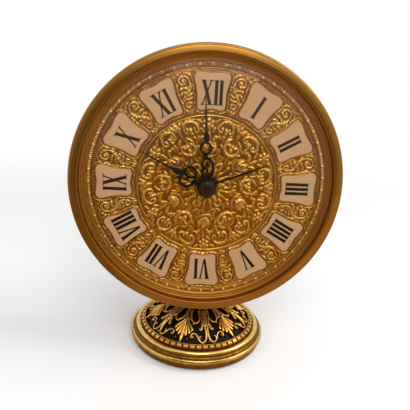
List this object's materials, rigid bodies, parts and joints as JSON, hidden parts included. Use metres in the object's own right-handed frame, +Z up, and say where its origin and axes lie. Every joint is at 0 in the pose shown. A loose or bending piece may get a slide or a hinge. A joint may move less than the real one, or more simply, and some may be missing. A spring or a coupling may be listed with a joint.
{
  "type": "desk clock",
  "caption": "Round pedestal alarm clock with an embossed gilt dial, cream numeral plates, domed glass, pierced domed base, rear winding keys and setting knobs.",
  "frame": {"origin": "centre of the felt underside, on the surface that the clock stands on", "axes": "+Z up, +X to the right of a person facing the dial, +Y from the dial towards the rear cover"},
  "size_m": [0.1502, 0.0842, 0.1811],
  "materials": {
    "gilt_brass": "antique gilt brass, worn bright on the high points and dark in the recesses",
    "case_brass": "polished and lacquered brass",
    "aged_bronze": "dark patinated bronze",
    "dark_enamel": "glossy green-black enamel",
    "cream_enamel": "cream enamel, satin",
    "black_steel": "blackened steel",
    "glass": "clear domed glass",
    "movement_brass": "brushed brass",
    "steel": "turned steel",
    "iron": "rough cast iron",
    "felt": "pressed wool felt"
  },
  "bodies": {
    "stand_and_case": {"felt_pad": "felt", "foot_ring": "gilt_brass", "base_weight": "iron", "enamel_dome": "dark_enamel", "openwork_dome": "gilt_brass", "neck": "case_brass", "saddle_washer": "steel", "tie_bolt": "steel", "base_nut": "steel", "case_drum": "case_brass", "bezel": "gilt_brass", "bezel_screws": "steel", "crystal": "glass", "dial_surround": "aged_bronze", "dial_plate": "gilt_brass", "numeral_plates": "cream_enamel", "carrier_plate": "movement_brass", "carrier_posts": "movement_brass", "rear_cover": "case_brass", "rear_cover_screws": "steel", "front_plate": "movement_brass", "back_plate": "movement_brass", "plate_pillars": "movement_brass", "balance_cock": "movement_brass", "time_click": "steel", "alarm_click": "steel", "sounding_post": "steel"},
    "minute_hand_set": {"minute_hand": "black_steel", "hand_cap": "black_steel", "cannon_pinion": "movement_brass"},
    "hour_hand_set": {"hour_hand": "black_steel", "hour_wheel": "movement_brass"},
    "minute_wheel": {"minute_wheel": "movement_brass"},
    "hand_setting": {"hand_setting_arbor": "steel", "hand_setting_knob": "case_brass"},
    "alarm_hand_set": {"alarm_hand": "black_steel", "alarm_wheel": "movement_brass"},
    "alarm_setting": {"alarm_setting_arbor": "steel", "alarm_setting_knob": "case_brass"},
    "time_barrel": {"time_barrel": "movement_brass", "time_mainspring": "steel"},
    "time_winding": {"time_barrel_arbor": "steel", "time_winding_key": "case_brass"},
    "alarm_barrel": {"alarm_barrel": "movement_brass", "alarm_mainspring": "steel"},
    "alarm_winding": {"alarm_barrel_arbor": "steel", "alarm_winding_key": "case_brass"},
    "intermediate_wheel": {"intermediate_wheel": "movement_brass"},
    "centre_wheel": {"centre_wheel": "movement_brass"},
    "third_wheel": {"third_wheel": "movement_brass"},
    "fourth_wheel": {"fourth_wheel": "movement_brass"},
    "escape_wheel": {"escape_wheel": "movement_brass"},
    "pallet_lever": {"pallet_lever": "steel"},
    "balance": {"balance_wheel": "movement_brass", "hairspring": "steel"},
    "regulator": {"regulator_lever": "steel"},
    "alarm_star": {"alarm_star_wheel": "movement_brass"},
    "alarm_hammer": {"alarm_hammer": "steel"},
    "stop_button": {"stop_button": "case_brass"}
  },
  "joints": [
    {"name": "minute_hand_turn", "type": "hinge", "parent": "stand_and_case", "child": "minute_hand_set", "pos_m": [0, 0, 0.106], "axis": [0, 1, 0], "continuous": true},
    {"name": "hour_hand_turn", "type": "hinge", "parent": "stand_and_case", "child": "hour_hand_set", "pos_m": [0, 0, 0.106], "axis": [0, 1, 0], "continuous": true},
    {"name": "minute_wheel_turn", "type": "hinge", "parent": "stand_and_case", "child": "minute_wheel", "pos_m": [-0.00935, 0, 0.1114], "axis": [0, 1, 0], "continuous": true},
    {"name": "hand_setting_turn", "type": "hinge", "parent": "stand_and_case", "child": "hand_setting", "pos_m": [-0.01871, 0, 0.1168], "axis": [0, 1, 0], "continuous": true},
    {"name": "alarm_hand_turn", "type": "hinge", "parent": "stand_and_case", "child": "alarm_hand_set", "pos_m": [0, 0, 0.106], "axis": [0, 1, 0], "continuous": true},
    {"name": "alarm_setting_turn", "type": "hinge", "parent": "stand_and_case", "child": "alarm_setting", "pos_m": [0.01212, 0, 0.099], "axis": [0, 1, 0], "continuous": true},
    {"name": "time_winding_turn", "type": "hinge", "parent": "stand_and_case", "child": "time_winding", "pos_m": [-0.02292, 0, 0.08177], "axis": [0, 1, 0], "continuous": true},
    {"name": "alarm_winding_turn", "type": "hinge", "parent": "stand_and_case", "child": "alarm_winding", "pos_m": [0.012, 0, 0.079], "axis": [0, 1, 0], "continuous": true},
    {"name": "fourth_wheel_turn", "type": "hinge", "parent": "stand_and_case", "child": "fourth_wheel", "pos_m": [0.01717, 0, 0.1209], "axis": [0, 1, 0], "continuous": true},
    {"name": "third_wheel_turn", "type": "hinge", "parent": "stand_and_case", "child": "third_wheel", "pos_m": [0.00462, 0, 0.11869], "axis": [0, 1, 0], "continuous": true},
    {"name": "centre_wheel_turn", "type": "hinge", "parent": "stand_and_case", "child": "centre_wheel", "pos_m": [0, 0, 0.106], "axis": [0, 1, 0], "continuous": true},
    {"name": "intermediate_wheel_turn", "type": "hinge", "parent": "stand_and_case", "child": "intermediate_wheel", "pos_m": [-0.01167, 0, 0.09783], "axis": [0, 1, 0], "continuous": true},
    {"name": "time_barrel_turn", "type": "hinge", "parent": "stand_and_case", "child": "time_barrel", "pos_m": [-0.02292, 0, 0.08177], "axis": [0, 1, 0], "continuous": true},
    {"name": "escape_wheel_turn", "type": "hinge", "parent": "stand_and_case", "child": "escape_wheel", "pos_m": [0.02056, 0, 0.1116], "axis": [0, 1, 0], "continuous": true},
    {"name": "pallet_rock", "type": "hinge", "parent": "stand_and_case", "child": "pallet_lever", "pos_m": [0.02386, 0, 0.10588], "axis": [0, 1, 0], "range_deg": [-3, 3]},
    {"name": "balance_swing", "type": "hinge", "parent": "stand_and_case", "child": "balance", "pos_m": [0.03044, 0, 0.09974], "axis": [0, 1, 0], "range_deg": [-135, 135], "stiffness_Nm_per_rad": 0.0000063},
    {"name": "regulator_swing", "type": "hinge", "parent": "stand_and_case", "child": "regulator", "pos_m": [0.03044, 0, 0.09974], "axis": [0, 1, 0], "range_deg": [-20, 20]},
    {"name": "alarm_barrel_turn", "type": "hinge", "parent": "stand_and_case", "child": "alarm_barrel", "pos_m": [0.012, 0, 0.079], "axis": [0, 1, 0], "continuous": true},
    {"name": "alarm_star_turn", "type": "hinge", "parent": "stand_and_case", "child": "alarm_star", "pos_m": [0.02565, 0, 0.08141], "axis": [0, 1, 0], "continuous": true},
    {"name": "alarm_hammer_swing", "type": "hinge", "parent": "stand_and_case", "child": "alarm_hammer", "pos_m": [0.02915, 0, 0.08747], "axis": [0, 1, 0], "range_deg": [0, 10]},
    {"name": "stop_button_press", "type": "slide", "parent": "stand_and_case", "child": "stop_button", "axis": [0, -1, 0], "range_m": [0, 0.003], "stiffness_N_per_m": 200, "springref_m": -0.001}
  ],
  "couplings": [
    {"joint": "minute_wheel_turn", "follows": "minute_hand_turn", "ratio": -0.33333},
    {"joint": "hour_hand_turn", "follows": "minute_hand_turn", "ratio": 0.083333},
    {"joint": "hand_setting_turn", "follows": "minute_hand_turn", "ratio": 1},
    {"joint": "alarm_setting_turn", "follows": "alarm_hand_turn", "ratio": -4},
    {"joint": "third_wheel_turn", "follows": "fourth_wheel_turn", "ratio": -0.13333},
    {"joint": "centre_wheel_turn", "follows": "fourth_wheel_turn", "ratio": 0.016667},
    {"joint": "intermediate_wheel_turn", "follows": "fourth_wheel_turn", "ratio": -0.0041667},
    {"joint": "time_barrel_turn", "follows": "fourth_wheel_turn", "ratio": 0.00069444},
    {"joint": "escape_wheel_turn", "follows": "fourth_wheel_turn", "ratio": -8},
    {"joint": "alarm_star_turn", "follows": "alarm_barrel_turn", "ratio": -6}
  ]
}
